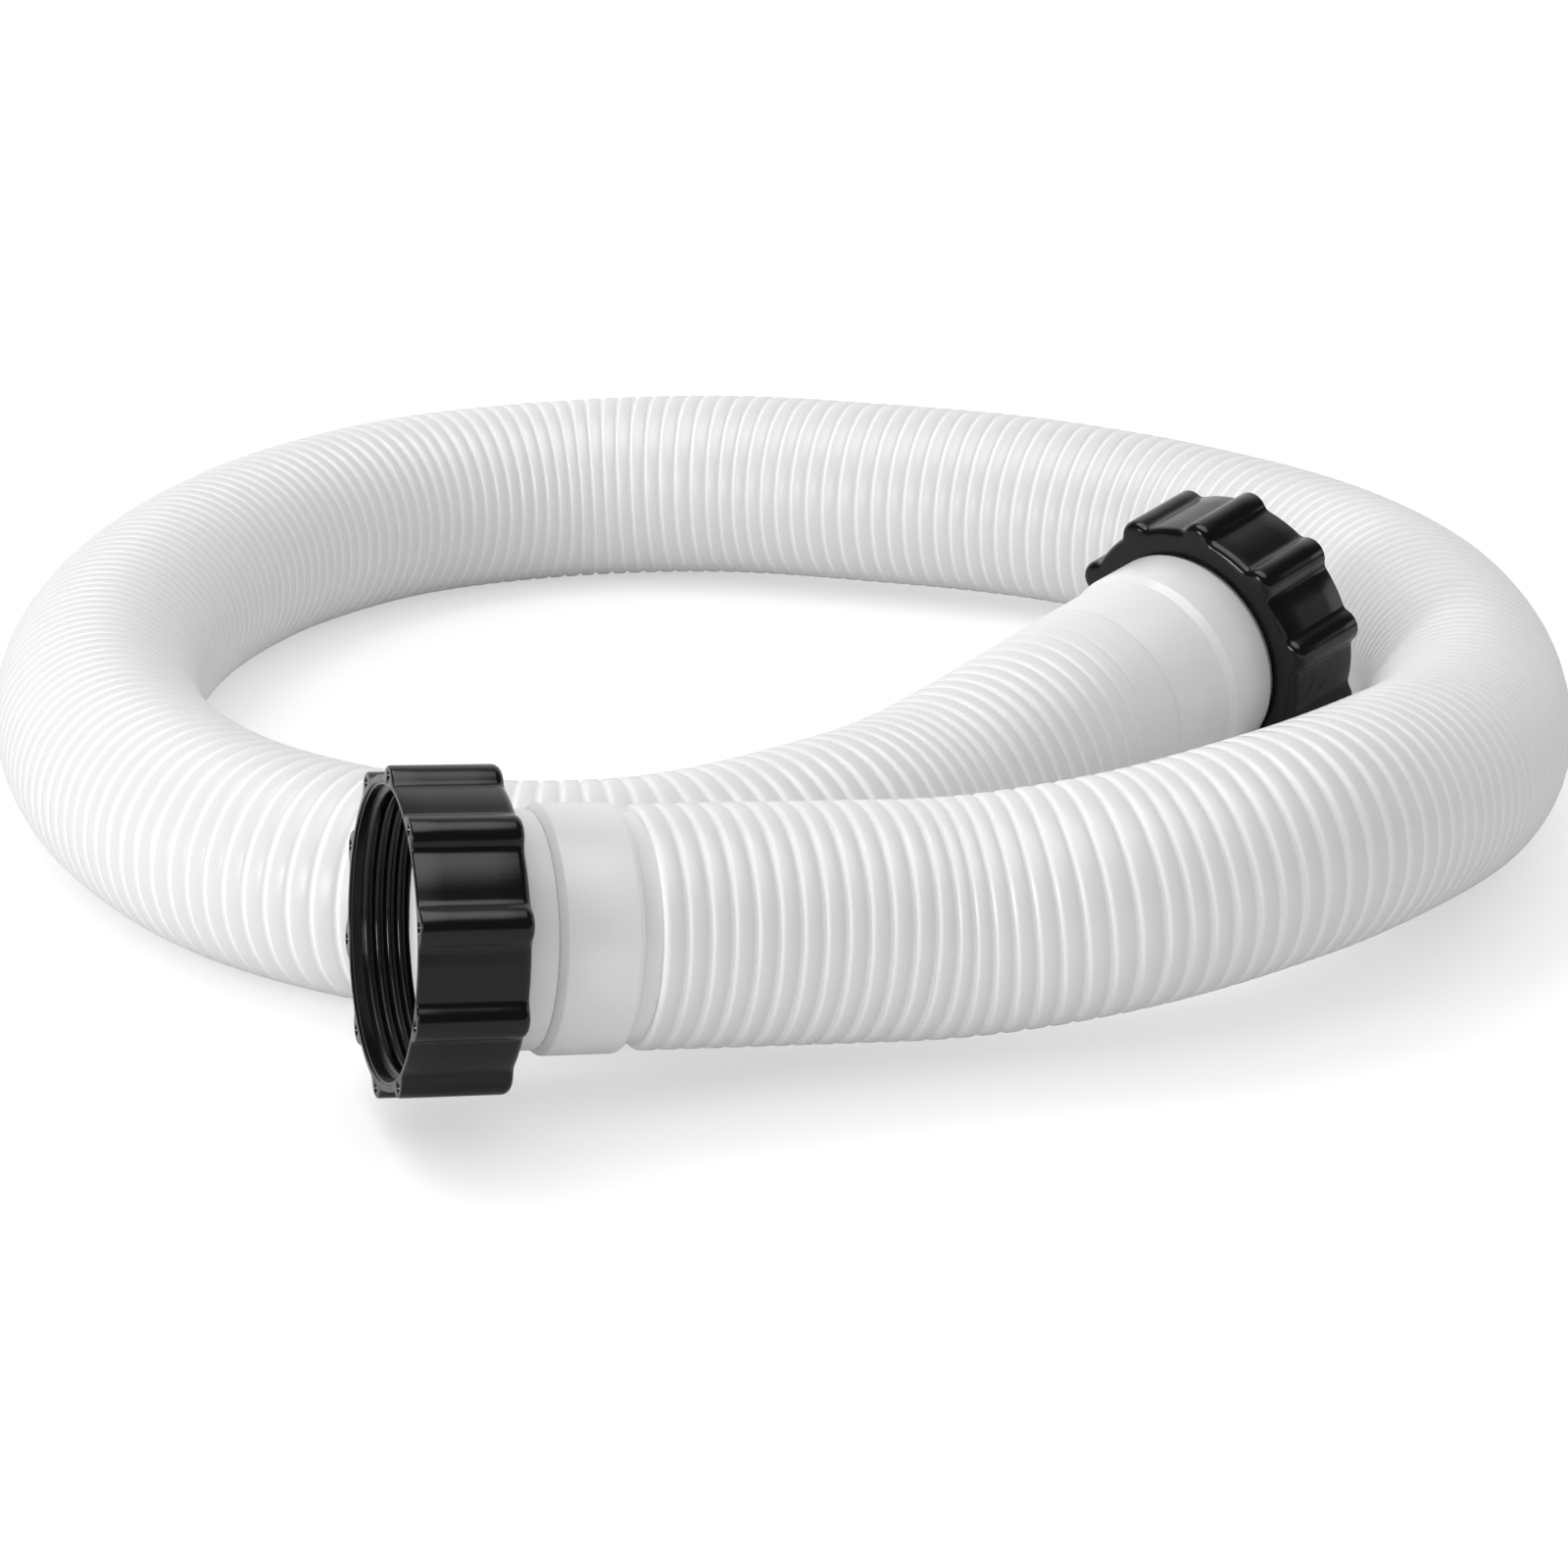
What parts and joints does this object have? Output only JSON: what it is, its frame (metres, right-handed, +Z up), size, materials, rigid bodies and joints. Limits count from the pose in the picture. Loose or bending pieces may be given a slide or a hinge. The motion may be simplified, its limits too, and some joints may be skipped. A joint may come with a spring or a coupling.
{
  "type": "vacuum hose",
  "caption": "Flexible ribbed hose lying in an overlapping loop, each end with a smooth cuff, a tailpiece, a flat washer and a lobed threaded union nut that spins.",
  "frame": {"origin": "on the floor under the middle of the coiled hose's bounding box", "axes": "+Z up, +Y away from the front, across the loop's longer side, +X to the right as seen from the front"},
  "size_m": [0.3868, 0.4698, 0.0786],
  "materials": {
    "hose_plastic": "semi-gloss white, slightly translucent",
    "fitting_plastic": "smooth semi-gloss white",
    "nut_plastic": "moulded gloss black",
    "washer_rubber": "matt white"
  },
  "bodies": {
    "hose_assembly": {"ribbed_hose": "hose_plastic", "outer_cuff": "hose_plastic", "inner_cuff": "hose_plastic", "outer_tailpiece": "fitting_plastic", "inner_tailpiece": "fitting_plastic", "outer_sealing_washer": "washer_rubber", "inner_sealing_washer": "washer_rubber"},
    "outer_nut": {"outer_union_nut": "nut_plastic"},
    "inner_nut": {"inner_union_nut": "nut_plastic"}
  },
  "joints": [
    {"name": "outer_nut_spin", "type": "hinge", "parent": "hose_assembly", "child": "outer_nut", "pos_m": [-0.06883, -0.19848, 0.04059], "axis": [-0.9511, -0.2972, 0.0842], "continuous": true},
    {"name": "inner_nut_spin", "type": "hinge", "parent": "hose_assembly", "child": "inner_nut", "pos_m": [0.10562, 0.00041, 0.0431], "axis": [0.6664, 0.7261, 0.1691], "continuous": true}
  ]
}
